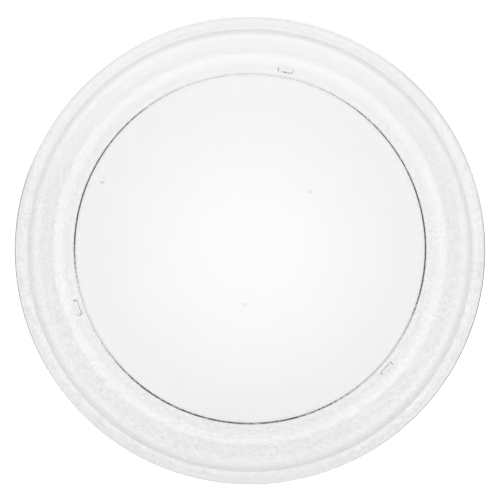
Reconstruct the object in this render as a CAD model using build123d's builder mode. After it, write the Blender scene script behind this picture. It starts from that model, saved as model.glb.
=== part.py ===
import math
import os

from build123d import *

# Pressed glass turntable plate, rim up, standing on its three pads. Sizes are in millimetres.
# +Z is up, and the origin is on the plate's axis, level with the undersides of the pads.

# Rim and inner side, from the outside in
plate_diameter = 245.0
lip_width = 6.75
lip_edge_thickness = 4.0
lip_upper_radius = 2.0
lip_lower_radius = 1.0
lip_corner_radius = 0.25
riser_width = 2.85
riser_height = 5.1
riser_root_radius = 1.2
slope_width = 10.25
slope_height = 2.2
slope_root_radius = 0.8

# Floor and the stepped underside, where the roller ring runs inside the guide wall
track_thickness = 4.9
track_width = 13.15
relief_depth = 0.3
relief_step_width = 0.6
guide_diameter = 185.2
guide_depth = 1.7
guide_slope = 42.8
guide_root_radius = 1.8
foot_width = 9.9
foot_inner_edge_radius = 1.8
foot_outer_edge_radius = 2.5
foot_side_width = 3.4
foot_side_slope = 36.5
foot_side_radius = 4.0

# Pads under the foot ring, sized at their soles
pad_count = 3
pad_height = 0.6
pad_width = 7.2
pad_length = 1.2
pad_corner_radius = 0.5
pad_inner_draft = 47.5
pad_side_draft = 41.0
pad_outer_draft = 72.0
pad_setback = 2.05
pad_start_angle = 78.8

# Levels above the pads' undersides
foot_level = pad_height
track_level = foot_level + guide_depth
relief_level = track_level + relief_depth
floor_level = track_level + track_thickness
slope_level = floor_level + slope_height
lip_level = slope_level + riser_height
lip_edge_level = lip_level - lip_edge_thickness
foot_side_level = foot_level + foot_side_width * math.tan(math.radians(foot_side_slope))

# Distances from the axis
plate_radius = plate_diameter / 2
lip_inner_radius = plate_radius - lip_width
slope_outer_radius = lip_inner_radius - riser_width
floor_radius = slope_outer_radius - slope_width
guide_mouth_radius = guide_diameter / 2
guide_root_offset = guide_depth / math.tan(math.radians(guide_slope))
track_outer_radius = guide_mouth_radius - guide_root_offset
track_inner_radius = track_outer_radius - track_width
foot_outer_radius = guide_mouth_radius + foot_width
foot_side_outer_radius = foot_outer_radius + foot_side_width

# Pads run up to the track's level, inside the glass, and spread on the way
pad_inner_spread = track_level * math.tan(math.radians(pad_inner_draft))
pad_side_spread = track_level * math.tan(math.radians(pad_side_draft))
pad_outer_spread = track_level * math.tan(math.radians(pad_outer_draft))
pad_centre_radius = guide_mouth_radius + pad_setback + pad_length / 2
pad_root_length = pad_length + pad_inner_spread + pad_outer_spread
pad_root_width = pad_width + 2 * pad_side_spread
pad_root_corner_radius = pad_corner_radius + pad_side_spread
pad_root_radius = pad_centre_radius + (pad_outer_spread - pad_inner_spread) / 2

# Edges that a thin wall limits
lip_upper_rounding = min(lip_upper_radius, 0.5 * lip_edge_thickness)
lip_lower_rounding = min(lip_lower_radius, 0.4 * lip_edge_thickness)

# Half section from the axis, out along the underside and back over the top, with each corner's rounding
underside_centre = (0, relief_level)
floor_centre = (0, floor_level)
corners = [
    ((track_inner_radius - relief_step_width, relief_level), 0),
    ((track_inner_radius, track_level), 0),
    ((track_outer_radius, track_level), guide_root_radius),
    ((guide_mouth_radius, foot_level), foot_inner_edge_radius),
    ((foot_outer_radius, foot_level), foot_outer_edge_radius),
    ((foot_side_outer_radius, foot_side_level), foot_side_radius),
    ((plate_radius, lip_edge_level), lip_lower_rounding),
    ((plate_radius, lip_level), lip_upper_rounding),
    ((lip_inner_radius, lip_level), lip_corner_radius),
    ((slope_outer_radius, slope_level), riser_root_radius),
    ((floor_radius, floor_level), slope_root_radius),
]

with BuildPart() as pad:
    with BuildSketch(Plane.XY):
        with Locations((pad_centre_radius, 0)):
            RectangleRounded(pad_length, pad_width, pad_corner_radius)
    with BuildSketch(Plane.XY.offset(track_level)):
        with Locations((pad_root_radius, 0)):
            RectangleRounded(pad_root_length, pad_root_width, pad_root_corner_radius)
    loft(ruled=True)

with BuildPart() as glass_plate:
    # Plate body
    with BuildSketch(Plane.XZ):
        with BuildLine():
            skin = FilletPolyline(
                underside_centre,
                *[point for point, rounding in corners],
                floor_centre,
                radius=[rounding for point, rounding in corners],
            )
            Line(skin @ 1, skin @ 0)
        make_face()
    revolve(axis=Axis.Z)

    # Pads under the foot ring
    with PolarLocations(0, pad_count, pad_start_angle):
        add(pad.part)

glass_plate.part.label = "glass_plate"

os.makedirs("parts", exist_ok=True)
export_step(glass_plate.part, "parts/glass_plate.step")
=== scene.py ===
import math

import bpy
import numpy as np
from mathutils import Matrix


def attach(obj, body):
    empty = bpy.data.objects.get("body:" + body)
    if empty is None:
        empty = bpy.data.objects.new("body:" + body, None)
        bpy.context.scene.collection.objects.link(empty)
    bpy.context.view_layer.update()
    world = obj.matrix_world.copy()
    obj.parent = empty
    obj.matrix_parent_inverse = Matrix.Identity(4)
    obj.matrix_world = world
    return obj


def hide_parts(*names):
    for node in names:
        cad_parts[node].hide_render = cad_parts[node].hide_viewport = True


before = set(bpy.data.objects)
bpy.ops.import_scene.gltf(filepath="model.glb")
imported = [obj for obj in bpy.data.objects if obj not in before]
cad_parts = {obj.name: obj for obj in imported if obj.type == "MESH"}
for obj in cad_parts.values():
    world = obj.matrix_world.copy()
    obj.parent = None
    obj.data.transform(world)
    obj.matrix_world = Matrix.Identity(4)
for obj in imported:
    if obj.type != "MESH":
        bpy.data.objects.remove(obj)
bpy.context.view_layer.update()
scene = bpy.context.scene
mm = 0.001
tiny = 1e-6

# glass plate: one pressed piece, turned about its axis, with three pads under its foot ring
plate = {
    "node": "glass_plate",
    "slot": "glass",
    "body": "root",
    # half section in mm, from the axis out along the underside and back over the top:
    # distance, height, rounding
    "section": [
        (0.0, 2.6, 0.0),  # middle of the underside
        (77.0, 2.6, 0.3),  # shallow relief inside the roller track
        (77.6, 2.3, 0.3),
        (90.79, 2.3, 1.8),  # root and mouth of the guide wall
        (92.6, 0.6, 1.8),
        (102.5, 0.6, 2.5),  # outer edge and side of the foot ring
        (105.9, 3.116, 4.0),
        (122.5, 10.5, 1.0),  # lip's outer edge
        (122.5, 14.5, 2.0),
        (115.75, 14.5, 0.25),  # crisp inner corner of the lip
        (112.9, 9.4, 1.2),  # foot of the riser
        (102.65, 7.2, 0.8),  # foot of the slope
        (0.0, 7.2, 0.0),  # middle of the floor
    ],
    "arcStep": 4.0,  # degrees of a rounding between two rings
    "edgeGap": 0.2,  # a ring this far beside each rounding keeps the flats flat
    "columns": 360,
    "columnRoom": 0.3,  # share of a column left free beside a pad
    "sharpAngle": 30.0,
    "foot": 0.6,  # level of the foot ring
    # pads by the sizes of their soles, with slopes that lean out by their drafts, the outer one most
    "pads": {
        "angles": (78.8, 198.8, 318.8),
        "radius": 94.65,  # inner edge of the soles
        "length": 1.2,
        "width": 7.2,
        "corner": 0.5,
        "innerDraft": 47.5,
        "sideDraft": 41.0,
        "outerDraft": 72.0,
        "steps": 6,
        "halvings": 20,  # to find how deep a point of a slope lies
    },
    # seeds left in the glass by the press: x, y, height, half length, half width, turn
    "seeds": [
        (-76.9, 35.3, 4.9, 1.0, 0.62, 10.0),
        (31.4, 30.6, 5.2, 0.85, 0.56, 55.0),
        (-2.5, -28.5, 4.6, 0.85, 0.5, 0.0),
    ],
    "seedFlatness": 0.8,  # half height by half width
    "seedRows": 9,
    "seedColumns": 16,
    # stipple covers the underside from the foot ring, and thins out towards the lip's edge
    "stippleFrom": 92.9,
    "stippleTo": 121.6,
    "stippleFade": 0.6,
}


def roundedSection(corners, arcStep, edgeGap):
    points = [np.array(c[:2], float) for c in corners]
    roundings = [c[2] for c in corners[1:-1]]
    shortFlat = 3 * edgeGap
    line = [points[0]]
    for before, corner, after, rounding in zip(points, points[1:], points[2:], roundings):
        u = (before - corner) / np.linalg.norm(before - corner)
        v = (after - corner) / np.linalg.norm(after - corner)
        turn = math.pi - math.acos(np.clip(u @ v, -1.0, 1.0))
        reach = rounding * math.tan(turn / 2)
        start, end = corner + u * reach, corner + v * reach
        middle = corner + (u + v) / np.linalg.norm(u + v) * rounding / math.cos(turn / 2)
        x, z = start - middle
        side = np.sign(x * (end - middle)[1] - z * (end - middle)[0])
        steps = max(3, math.ceil(math.degrees(turn) / arcStep))
        if np.linalg.norm(line[-1] - start) > shortFlat:
            line.append(start + u * edgeGap)
        for k in range(steps + 1):
            a = side * turn * k / steps
            c, s = math.cos(a), math.sin(a)
            line.append(middle + np.array([c * x - s * z, s * x + c * z]))
        if np.linalg.norm(after - end) > shortFlat:
            line.append(end + v * edgeGap)
    line.append(points[-1])
    return line


def padReach(pads, height):
    # how far the inner, side and outer slopes spread over this height
    return [height * math.tan(math.radians(pads[k])) for k in ("innerDraft", "sideDraft", "outerDraft")]


def padLines(low, high, lowReach, highReach, pads):
    # grid lines across a pad: up one slope, over the corners and the middle, down the other slope
    up = np.linspace(low - lowReach, low, pads["steps"] + 1)
    over = np.linspace(low, low + pads["corner"], pads["steps"] // 2 + 1)[1:]
    back = np.linspace(high - pads["corner"], high, pads["steps"] // 2 + 1)[:-1]
    down = np.linspace(high, high + highReach, pads["steps"] + 1)
    return np.unique(np.concatenate([up, over, [(low + high) / 2], back, down]).round(6))


def withPadRings(line, pads, foot):
    inner, _, outer = padReach(pads, foot)
    radii = padLines(pads["radius"], pads["radius"] + pads["length"], inner, outer, pads)
    rings = []
    for a, b in zip(line, line[1:]):
        rings.append(a)
        if max(abs(a[1] - foot), abs(b[1] - foot)) < tiny and a[0] < radii[0] and b[0] > radii[-1]:
            rings += [np.array([r, foot]) for r in radii]
    rings.append(line[-1])
    return rings


def angleFrom(angle, degrees):
    # shortest way round between an angle and a pad's own
    return np.abs((angle - math.radians(degrees) + math.pi) % (2 * math.pi) - math.pi)


def turnAngles(columns, room, pads, foot):
    side = padReach(pads, foot)[1]
    across = padLines(-pads["width"] / 2, pads["width"] / 2, side, side, pads) / pads["radius"]
    step = 2 * math.pi / columns
    angles = []
    for a in np.arange(columns) * step:
        if min(angleFrom(a, p) for p in pads["angles"]) > across[-1] + room * step:
            angles.append(a)
    for p in pads["angles"]:
        angles += list((math.radians(p) + across) % (2 * math.pi))
    return np.array(sorted(angles))


def padDepth(r, angle, pads, foot):
    # 1 on a pad's sole, falling to 0 down its slopes: each level's outline is a larger rounded rectangle
    inner, side, outer = padReach(pads, foot)
    depth = np.zeros(np.broadcast(r, angle).shape)
    for p in pads["angles"]:
        away = angleFrom(angle, p) * pads["radius"]
        low, high = np.zeros(depth.shape), np.ones(depth.shape)
        for _ in range(pads["halvings"]):
            t = (low + high) / 2
            corner = pads["corner"] + t * side
            near, far = pads["radius"] - t * inner, pads["radius"] + pads["length"] + t * outer
            along = np.maximum(near + corner - r, r - far + corner)
            across = away - pads["width"] / 2 - t * side + corner
            outside = np.hypot(np.maximum(along, 0), np.maximum(across, 0))
            outside += np.minimum(np.maximum(along, across), 0)
            inside = outside < corner
            low, high = np.where(inside, low, t), np.where(inside, t, high)
        depth = np.maximum(depth, 1 - high)
    return depth


def turnedPlate(spec):
    pads, foot = spec["pads"], spec["foot"]
    line = withPadRings(roundedSection(spec["section"], spec["arcStep"], spec["edgeGap"]), pads, foot)
    angles = turnAngles(spec["columns"], spec["columnRoom"], pads, foot)
    inner = np.array(line[1:-1])
    r = inner[:, :1] + 0 * angles[None, :]
    z = inner[:, 1:] + 0 * angles[None, :]
    onFoot = np.abs(inner[:, 1] - foot) < tiny
    z[onFoot] -= foot * padDepth(r[onFoot], angles[None, :], pads, foot)
    grid = np.stack([r * np.cos(angles), r * np.sin(angles), z], 2)
    rings, count = grid.shape[:2]
    verts = np.vstack([grid.reshape(-1, 3), [(0, 0, line[0][1]), (0, 0, line[-1][1])]])
    bottom, top = rings * count, rings * count + 1
    last = (rings - 1) * count
    k = np.arange(count)
    after = (k + 1) % count
    faces = []
    for i in range(rings - 1):
        a, b = i * count, (i + 1) * count
        faces += np.stack([a + k, a + after, b + after, b + k], 1).tolist()
    faces += [(bottom, int(n), int(m)) for m, n in zip(k, after)]
    faces += [(top, int(last + m), int(last + n)) for m, n in zip(k, after)]
    # stipple weight of each point, on the underside only
    ringR = inner[:, 0]
    start = np.clip((ringR - spec["stippleFrom"]) / spec["stippleFade"], 0, 1)
    end = np.clip((spec["stippleTo"] - ringR) / spec["stippleFade"], 0, 1)
    below = np.arange(rings) <= np.argmax(ringR)
    weight = np.append(np.repeat(start * end * below, count), (0.0, 0.0))
    return verts, faces, weight


def addSeed(verts, faces, seed, flatness, rows, cols):
    # a closed void whose faces look into it
    x, y, z, longHalf, wideHalf, turn = seed
    first = len(verts)
    ball = [(0, 0, -1)]
    for i in range(1, rows):
        lat = -math.pi / 2 + math.pi * i / rows
        for j in range(cols):
            lon = 2 * math.pi * j / cols
            ball.append((math.cos(lat) * math.cos(lon), math.cos(lat) * math.sin(lon), math.sin(lat)))
    ball.append((0, 0, 1))
    a, b, h = (np.array(ball) * (longHalf, wideHalf, flatness * wideHalf)).T
    c, s = math.cos(math.radians(turn)), math.sin(math.radians(turn))
    shaped = np.stack([x + c * a - s * b, y + s * a + c * b, z + h], 1)

    def at(i, j):
        return first + 1 + (i - 1) * cols + j % cols

    for j in range(cols):
        faces.append((first, at(1, j), at(1, j + 1)))
        faces.append((first + len(ball) - 1, at(rows - 1, j + 1), at(rows - 1, j)))
        for i in range(1, rows - 1):
            faces.append((at(i, j), at(i + 1, j), at(i + 1, j + 1), at(i, j + 1)))
    return np.vstack([verts, shaped])


verts, faces, weight = turnedPlate(plate)
for seed in plate["seeds"]:
    verts = addSeed(verts, faces, seed, plate["seedFlatness"], plate["seedRows"], plate["seedColumns"])
weight = np.append(weight, np.zeros(len(verts) - len(weight)))
mesh = bpy.data.meshes.new("turntablePlate")
mesh.from_pydata((verts * mm).tolist(), [], faces)
mesh.validate()
mesh.shade_smooth()
mesh.set_sharp_from_angle(angle=math.radians(plate["sharpAngle"]))
stipple = mesh.attributes.new("stippleWeight", "FLOAT", "POINT")
stipple.data.foreach_set("value", weight.astype(np.float32))
turntable = bpy.data.objects.new("turntablePlate", mesh)
scene.collection.objects.link(turntable)
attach(turntable, plate["body"])
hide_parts(plate["node"])
triangles = sum(len(p.vertices) - 2 for p in mesh.polygons)
print("plate:", len(mesh.vertices), "points,", triangles, "triangles")


# nodes that the glass, the table and the light share
def feed(links, sockets, values):
    # plain values are set, and other nodes' outputs are linked
    for socket, value in zip(sockets, values):
        if isinstance(value, (int, float, tuple)):
            socket.default_value = value
        else:
            links.new(value, socket)


def mathNode(nodes, links, operation, *values):
    node = nodes.new("ShaderNodeMath")
    node.operation = operation
    feed(links, node.inputs, values)
    return node.outputs[0]


def vectorNode(nodes, links, operation, *values):
    node = nodes.new("ShaderNodeVectorMath")
    node.operation = operation
    feed(links, node.inputs, values)
    return node


def fineNoise(nodes, links, place, size):
    noise = nodes.new("ShaderNodeTexNoise")
    noise.inputs["Scale"].default_value = 1 / (size * mm)
    noise.inputs["Detail"].default_value = 1.0
    links.new(place, noise.inputs["Vector"])
    return noise.outputs["Fac"]


def levelRamp(nodes, links, value, stops, reach):
    ramp = nodes.new("ShaderNodeValToRGB")
    parts = ramp.color_ramp.elements
    while len(parts) < len(stops):
        parts.new(0.5)
    for part, (place, level) in zip(parts, stops):
        part.position = place / reach
        part.color = (level, level, level, 1.0)
    links.new(value, ramp.inputs["Fac"])
    return ramp.outputs["Color"]


# pressed glass: clear, stippled under the rim, with the slow unevenness of the press all over
glass = {
    "tint": (0.985, 0.99, 0.988, 1.0),
    "ior": 1.5,
    "roughness": 0.0,
    "absorb": (0.5, 0.53, 0.52, 1.0),
    "absorbDensity": 4.0,
    "stippleSize": 1.7,  # mm
    "stippleHeight": 0.12,
    "rippleSize": 9.0,
    "rippleHeight": 0.004,
}


def noiseBump(nodes, links, place, size, height):
    bump = nodes.new("ShaderNodeBump")
    bump.inputs["Distance"].default_value = height * mm
    links.new(fineNoise(nodes, links, place, size), bump.inputs["Height"])
    return bump


def pressedGlass(spec):
    mat = bpy.data.materials.new("pressedGlass")
    mat.use_nodes = True
    nodes, links = mat.node_tree.nodes, mat.node_tree.links
    shader = nodes["Principled BSDF"]
    shader.inputs["Base Color"].default_value = spec["tint"]
    shader.inputs["Transmission Weight"].default_value = 1.0
    shader.inputs["IOR"].default_value = spec["ior"]
    shader.inputs["Roughness"].default_value = spec["roughness"]
    place = nodes.new("ShaderNodeTexCoord").outputs["Object"]
    where = nodes.new("ShaderNodeAttribute")
    where.attribute_name = "stippleWeight"
    dimples = noiseBump(nodes, links, place, spec["stippleSize"], spec["stippleHeight"])
    links.new(where.outputs["Fac"], dimples.inputs["Strength"])
    ripple = noiseBump(nodes, links, place, spec["rippleSize"], spec["rippleHeight"])
    links.new(dimples.outputs["Normal"], ripple.inputs["Normal"])
    links.new(ripple.outputs["Normal"], shader.inputs["Normal"])
    soak = nodes.new("ShaderNodeVolumeAbsorption")
    soak.inputs["Color"].default_value = spec["absorb"]
    soak.inputs["Density"].default_value = spec["absorbDensity"]
    links.new(soak.outputs["Volume"], nodes["Material Output"].inputs["Volume"])
    return mat


turntable.data.materials.append(pressedGlass(glass))
print("glass: done")

# white table: through the glass it shows a painted pool of light, with painted rings of light and shadow
# where the rim gathers and spreads it, and painted caustic mottle under the stipple, which also lightens
# and darkens the paper's colour
table = {
    "size": 4.0,  # metres
    "drop": 0.05,  # mm below the pads
    "colour": (0.8, 0.8, 0.8),
    "cameraGlow": 0.9,
    "reach": 200.0,  # mm covered by the pool's ramp
    # brightness of the painted pool of light, with its painted rings of light and shadow, by the
    # distance from the axis in mm
    "pool": [
        (0, 0.777), (30, 0.76), (88, 0.68), (93, 0.672), (96, 0.645), (99, 0.705), (101, 0.71),
        (103, 0.71), (106, 0.672), (109, 0.672), (111, 0.725), (113, 0.73), (115, 0.67), (116.6, 0.73),
        (118.2, 0.66), (119.5, 0.63), (121, 0.57), (122.2, 0.53), (124.5, 0.51), (127, 0.66),
        (133, 0.72), (150, 0.74),
    ],
    "lean": 0.028,  # the painted pool is brighter at the far side than at the near one by this at leanAt
    "leanAt": 85.0,
    "leanPower": 5,
    "leanLeast": 0.93,
    "leanMost": 1.045,
    "paintedCausticSize": 1.0,  # mm
    "paintedCausticRound": 72.0,  # mm, radius that the painted caustic mottle is wrapped on, which draws it out along the rim
    "paintedCaustic": 0.27,
    "paintedCausticLean": 0.54,  # weaker at the far side by this at leanAt
    # share of the painted caustic mottle by the distance from the axis in mm
    "paintedCausticShare": [
        (0, 0.06), (91.5, 0.06), (93, 0.85), (113, 0.85), (115.5, 1.0), (121, 1.0), (125, 0.0),
    ],
}


def poolLight(nodes, links, spec, away, far):
    # painted pool of light: ring levels times a lean towards the far side
    lean = mathNode(nodes, links, "POWER", far, spec["leanPower"])
    lean = mathNode(nodes, links, "MULTIPLY_ADD", lean, spec["lean"], 1.0)
    lean = mathNode(nodes, links, "MAXIMUM", lean, spec["leanLeast"])
    lean = mathNode(nodes, links, "MINIMUM", lean, spec["leanMost"])
    level = levelRamp(nodes, links, away, spec["pool"], spec["reach"])
    return mathNode(nodes, links, "MULTIPLY", level, lean)


def rimPaintedCaustic(nodes, links, spec, spot, length, away, far):
    # painted caustic light: noise on a cylinder, round the axis and out from it
    toward = vectorNode(nodes, links, "NORMALIZE", spot).outputs["Vector"]
    outward = nodes.new("ShaderNodeCombineXYZ")
    links.new(length, outward.inputs["Z"])
    size = (spec["paintedCausticRound"] * mm,) * 3
    wrap = vectorNode(nodes, links, "MULTIPLY_ADD", toward, size, outward.outputs["Vector"])
    noise = fineNoise(nodes, links, wrap.outputs["Vector"], spec["paintedCausticSize"])
    swing = mathNode(nodes, links, "MULTIPLY_ADD", noise, 2 * spec["paintedCaustic"], -spec["paintedCaustic"])
    share = levelRamp(nodes, links, away, spec["paintedCausticShare"], spec["reach"])
    near = mathNode(nodes, links, "MULTIPLY_ADD", far, -spec["paintedCausticLean"], 1.0)
    near = mathNode(nodes, links, "MINIMUM", near, 1.0)
    share = mathNode(nodes, links, "MULTIPLY", share, near)
    return mathNode(nodes, links, "MULTIPLY_ADD", swing, share, 1.0)


def tableTop(spec):
    half = spec["size"] / 2
    corners = [(-half, -half, 0), (half, -half, 0), (half, half, 0), (-half, half, 0)]
    mesh = bpy.data.meshes.new("tableTop")
    mesh.from_pydata(corners, [], [(0, 1, 2, 3)])
    top = bpy.data.objects.new("tableTop", mesh)
    top.location.z = -spec["drop"] * mm
    scene.collection.objects.link(top)
    mat = bpy.data.materials.new("whitePaperWithPaintedPool")
    mat.use_nodes = True
    nodes, links = mat.node_tree.nodes, mat.node_tree.links
    shader = nodes["Principled BSDF"]
    shader.inputs["Roughness"].default_value = 1.0
    shader.inputs["Specular IOR Level"].default_value = 0.0
    shader.inputs["Emission Color"].default_value = (1, 1, 1, 1)
    spot = nodes.new("ShaderNodeNewGeometry").outputs["Position"]
    length = vectorNode(nodes, links, "LENGTH", spot).outputs["Value"]
    away = mathNode(nodes, links, "MULTIPLY", length, 1 / (spec["reach"] * mm))
    split = nodes.new("ShaderNodeSeparateXYZ")
    links.new(spot, split.inputs[0])
    far = mathNode(nodes, links, "MULTIPLY", split.outputs["Y"], 1 / (spec["leanAt"] * mm))
    paintedCaustic = rimPaintedCaustic(nodes, links, spec, spot, length, away, far)
    pool = mathNode(nodes, links, "MULTIPLY", poolLight(nodes, links, spec, away, far), paintedCaustic)
    # the painted caustic mottle also lightens and darkens the paper's own colour
    paperWithPaintedCaustic = vectorNode(nodes, links, "SCALE", spec["colour"])
    links.new(paintedCaustic, paperWithPaintedCaustic.inputs["Scale"])
    links.new(paperWithPaintedCaustic.outputs["Vector"], shader.inputs["Base Color"])
    # white to the camera, the painted pool of light to the glass
    ray = nodes.new("ShaderNodeLightPath").outputs
    seen = mathNode(nodes, links, "MAXIMUM", ray["Is Glossy Ray"], ray["Is Transmission Ray"])
    glow = mathNode(nodes, links, "MULTIPLY", seen, pool)
    glow = mathNode(nodes, links, "MULTIPLY_ADD", ray["Is Camera Ray"], spec["cameraGlow"], glow)
    links.new(glow, shader.inputs["Emission Strength"])
    mesh.materials.append(mat)


tableTop(table)
print("table: done")

# studio light: low white backdrop, dim walls, a ring lamp, a soft ceiling, soft boxes and black cards
studio = {
    "camera": 1.0,
    # brightness by the sine of the elevation
    "dome": [
        (0.0, 0.95), (0.27, 0.9), (0.38, 0.1), (0.5, 0.03), (0.87, 0.03), (0.885, 1.0),
        (0.9, 1.0), (0.912, 0.5), (0.95, 0.6), (0.975, 0.95), (1.0, 1.15),
    ],
    # azimuth, elevation, half width in degrees, brightness
    "boxes": [
        (210.0, 49.0, 17.0, 0.75),
        (314.0, 49.0, 17.5, 0.58),
        (255.0, 15.0, 24.0, 0.5),
        (285.0, 15.0, 24.0, 0.5),
        (315.0, 15.0, 24.0, 0.5),
    ],
    # black cards take light away
    "cards": [
        (157.0, 12.0, 45.0, -0.8),
        (0.0, 12.0, 36.0, -0.5),
        (75.0, 8.0, 50.0, -0.32),
    ],
    "core": 0.25,  # share of a box's or card's half width that is even
    "least": 0.02,
    "most": 1.15,
}


def softBox(nodes, links, direction, box, core):
    azimuth, elevation, halfWidth, level = box
    az, el = math.radians(azimuth), math.radians(elevation)
    middle = (math.cos(el) * math.cos(az), math.cos(el) * math.sin(az), math.sin(el))
    toward = vectorNode(nodes, links, "DOT_PRODUCT", direction, middle)
    fade = nodes.new("ShaderNodeMapRange")
    fade.interpolation_type = "SMOOTHSTEP"
    fade.inputs["From Min"].default_value = math.cos(math.radians(halfWidth))
    fade.inputs["From Max"].default_value = math.cos(math.radians(core * halfWidth))
    fade.inputs["To Max"].default_value = level
    links.new(toward.outputs["Value"], fade.inputs["Value"])
    return fade.outputs["Result"]


def studioWorld(spec):
    world = bpy.data.worlds.new("studio")
    scene.world = world
    world.use_nodes = True
    nodes, links = world.node_tree.nodes, world.node_tree.links
    back = nodes["Background"]
    back.inputs["Color"].default_value = (1, 1, 1, 1)
    direction = nodes.new("ShaderNodeTexCoord").outputs["Generated"]
    split = nodes.new("ShaderNodeSeparateXYZ")
    links.new(direction, split.inputs[0])
    level = levelRamp(nodes, links, split.outputs["Z"], spec["dome"], 1.0)
    for box in spec["boxes"] + spec["cards"]:
        level = mathNode(nodes, links, "ADD", level, softBox(nodes, links, direction, box, spec["core"]))
    level = mathNode(nodes, links, "MAXIMUM", level, spec["least"])
    level = mathNode(nodes, links, "MINIMUM", level, spec["most"])
    ray = nodes.new("ShaderNodeLightPath").outputs
    seen = mathNode(nodes, links, "MULTIPLY", ray["Is Camera Ray"], spec["camera"])
    links.new(mathNode(nodes, links, "MAXIMUM", seen, level), back.inputs["Strength"])


studioWorld(studio)
print("light: done")

# camera: nearly overhead, a little towards the far side
view = {
    "tilt": 5.5,
    "distance": 2.4,
    "aim": (0.0, 0.0006, 0.0125),
    "rimRadius": 122.5,  # mm
    "rimPixels": 235.39,  # the rim's radius in the picture
    "halfPixels": 250,
    "sensor": 36.0,
    "bounces": 24,
    "glossyBounces": 16,
}
pictureHalf = view["rimRadius"] / view["rimPixels"] * view["halfPixels"] * mm
lens = bpy.data.cameras.new("camera")
lens.sensor_width = view["sensor"]
lens.lens = view["sensor"] / 2 * view["distance"] / pictureHalf
camera = bpy.data.objects.new("camera", lens)
scene.collection.objects.link(camera)
tilt = math.radians(view["tilt"])
aimX, aimY, aimZ = view["aim"]
camera.location = (
    aimX,
    aimY + view["distance"] * math.sin(tilt),
    aimZ + view["distance"] * math.cos(tilt),
)
camera.rotation_euler = (-tilt, 0.0, 0.0)
scene.camera = camera
scene.view_settings.view_transform = "Standard"
scene.cycles.max_bounces = view["bounces"]
scene.cycles.transmission_bounces = view["bounces"]
scene.cycles.glossy_bounces = view["glossyBounces"]

print("scene: done")
